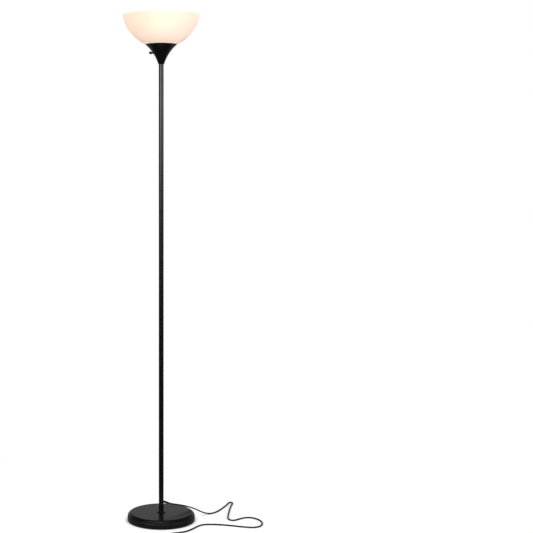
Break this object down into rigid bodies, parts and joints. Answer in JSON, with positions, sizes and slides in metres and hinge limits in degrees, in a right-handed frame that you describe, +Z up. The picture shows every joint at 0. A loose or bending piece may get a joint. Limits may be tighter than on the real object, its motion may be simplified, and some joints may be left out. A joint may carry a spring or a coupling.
{
  "type": "torchiere floor lamp",
  "caption": "Free-standing uplighter with a weighted round base, a slim jointed pole, a trumpet cup and an opal bowl shade, turned on by a knob under the bowl.",
  "frame": {"origin": "on the floor under the middle of the base", "axes": "+Z up along the pole, +X to the right of a viewer in front, +Y away from that viewer"},
  "size_m": [0.493, 0.4949, 1.78],
  "materials": {
    "black_paint": "satin black",
    "cement": "rough cast",
    "foam": "closed-cell foam",
    "steel": "zinc plated",
    "black_plastic": "moulded, fine grain",
    "brass": "plain",
    "cap_metal": "rolled",
    "wire_black": "insulation",
    "wire_white": "insulation",
    "fibre": "pressed fibre",
    "opal": "glossy opal, lit from inside",
    "insulator": "glazed black",
    "bulb_white": "moulded white",
    "board_white": "white board",
    "bulb_opal": "frosted, lit",
    "cord": "smooth sheath"
  },
  "bodies": {
    "lamp": {"base_shell": "black_paint", "pole_collar": "black_paint", "pole_bottom": "black_paint", "pole_lower": "black_paint", "pole_upper": "black_paint", "pole_top": "black_paint", "cup": "black_paint", "base_weight": "cement", "floor_pad": "foam", "base_plate": "steel", "base_bolt": "steel", "base_spring_washer": "steel", "base_washer": "steel", "foot_insert": "steel", "top_insert": "steel", "joiner_low": "steel", "joiner_middle": "steel", "joiner_high": "steel", "nipple": "steel", "nipple_washer": "steel", "nipple_nut": "steel", "cord_relief": "black_plastic", "stem_bush": "black_plastic", "socket_cap": "black_plastic", "switch_block": "black_plastic", "socket_sleeve": "black_plastic", "shade_ring": "black_plastic", "coil_tie": "black_plastic", "plug_relief": "black_plastic", "plug_body": "black_plastic", "terminal_screws": "brass", "centre_contact": "brass", "screw_shell": "brass", "plug_blades": "brass", "wire_live": "wire_black", "wire_neutral": "wire_white", "shade_washer": "fibre", "shade": "opal", "cord_run": "cord", "cord_coil": "cord", "pole_lead": "cord"},
    "switch": {"switch_rotor": "black_plastic", "switch_stem": "black_plastic", "switch_knob": "black_plastic"},
    "bulb_contact": {"bulb_tip": "brass", "bulb_insulator": "insulator"},
    "bulb": {"bulb_cap": "cap_metal", "bulb_body": "bulb_white", "led_board": "board_white", "bulb_diffuser": "bulb_opal"}
  },
  "joints": [
    {"name": "switch_turn", "type": "hinge", "parent": "lamp", "child": "switch", "pos_m": [0, 0, 1.64785], "axis": [-0.6561, -0.7547, 0], "continuous": true},
    {"name": "bulb_rise", "type": "slide", "parent": "lamp", "child": "bulb_contact", "axis": [0, 0, 1], "range_m": [0, 0.01452]},
    {"name": "bulb_turn", "type": "hinge", "parent": "bulb_contact", "child": "bulb", "pos_m": [0, 0, 1.66475], "axis": [0, 0, 1], "range_deg": [0, 1440]}
  ],
  "couplings": [
    {"joint": "bulb_rise", "follows": "bulb_turn", "m_per_rad": 0.00057757}
  ]
}
